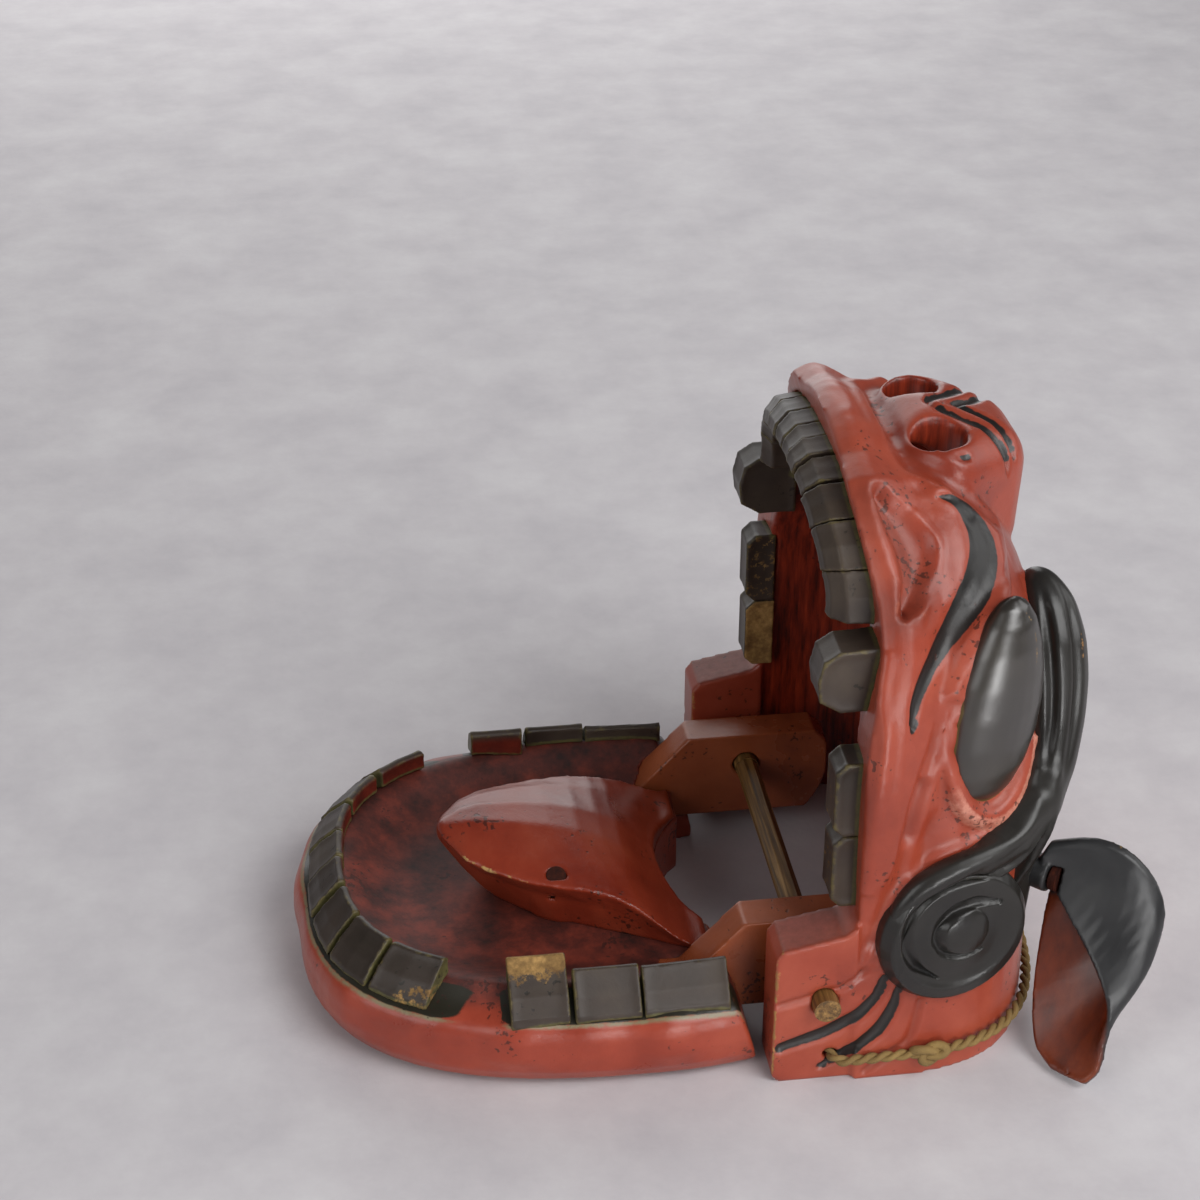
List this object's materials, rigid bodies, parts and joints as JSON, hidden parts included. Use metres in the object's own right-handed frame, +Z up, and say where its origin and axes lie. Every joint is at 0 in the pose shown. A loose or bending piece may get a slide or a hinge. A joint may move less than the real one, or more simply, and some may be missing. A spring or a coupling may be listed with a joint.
{
  "type": "lion-dance head mask",
  "caption": "Hand-held lion-dance head of carved lacquered wood with a hinged lower jaw on a wooden axle, black teeth and brows, and pegged swinging ears.",
  "frame": {"origin": "middle of the bounding box at table level", "axes": "+X towards the crown of the head, -X along the open jaw, +Y to the head's right side, +Z up along the muzzle"},
  "size_m": [0.3352, 0.2602, 0.245],
  "materials": {
    "red_lacquer": "worn vermilion lacquer over wood, satin",
    "brown_lacquer": "brown-red lacquer, glossy",
    "black_lacquer": "black lacquer with olive-gold worn edges, satin",
    "bare_wood": "bare wood with dark patina",
    "ear_lacquer": "satin black lacquer outside, brown-red lacquer inside",
    "hemp": "twisted hemp"
  },
  "bodies": {
    "head": {"head_shell": "red_lacquer", "left_cheek_block": "red_lacquer", "right_cheek_block": "red_lacquer", "nose": "red_lacquer", "left_eye": "black_lacquer", "right_eye": "black_lacquer", "left_brow": "black_lacquer", "right_brow": "black_lacquer", "left_cheek_curl": "black_lacquer", "right_cheek_curl": "black_lacquer", "upper_front_teeth": "black_lacquer", "left_upper_fang": "black_lacquer", "right_upper_fang": "black_lacquer", "left_upper_molars": "black_lacquer", "right_upper_molars": "black_lacquer", "axle_rod": "bare_wood", "left_ear_peg": "bare_wood", "right_ear_peg": "bare_wood", "lacing_cord": "hemp", "left_cord_stop": "hemp", "right_cord_stop": "hemp"},
    "jaw": {"lower_jaw": "red_lacquer", "left_jaw_arm": "brown_lacquer", "right_jaw_arm": "brown_lacquer", "tongue": "red_lacquer", "tongue_peg": "bare_wood", "lower_front_teeth": "black_lacquer", "left_lower_teeth": "black_lacquer", "right_lower_teeth": "black_lacquer"},
    "left_ear_body": {"left_ear": "ear_lacquer"},
    "right_ear_body": {"right_ear": "ear_lacquer"}
  },
  "joints": [
    {"name": "jaw_hinge", "type": "hinge", "parent": "head", "child": "jaw", "pos_m": [0.03443, 0, 0.038], "axis": [0, 1, 0], "range_deg": [0, 80]},
    {"name": "left_ear_swing", "type": "hinge", "parent": "head", "child": "left_ear_body", "pos_m": [0.12477, -0.08336, 0.074], "axis": [0.7193, -0.6947, 0], "range_deg": [-25, 25]},
    {"name": "right_ear_swing", "type": "hinge", "parent": "head", "child": "right_ear_body", "pos_m": [0.12477, 0.08336, 0.074], "axis": [0.7193, 0.6947, 0], "range_deg": [-25, 25]}
  ]
}
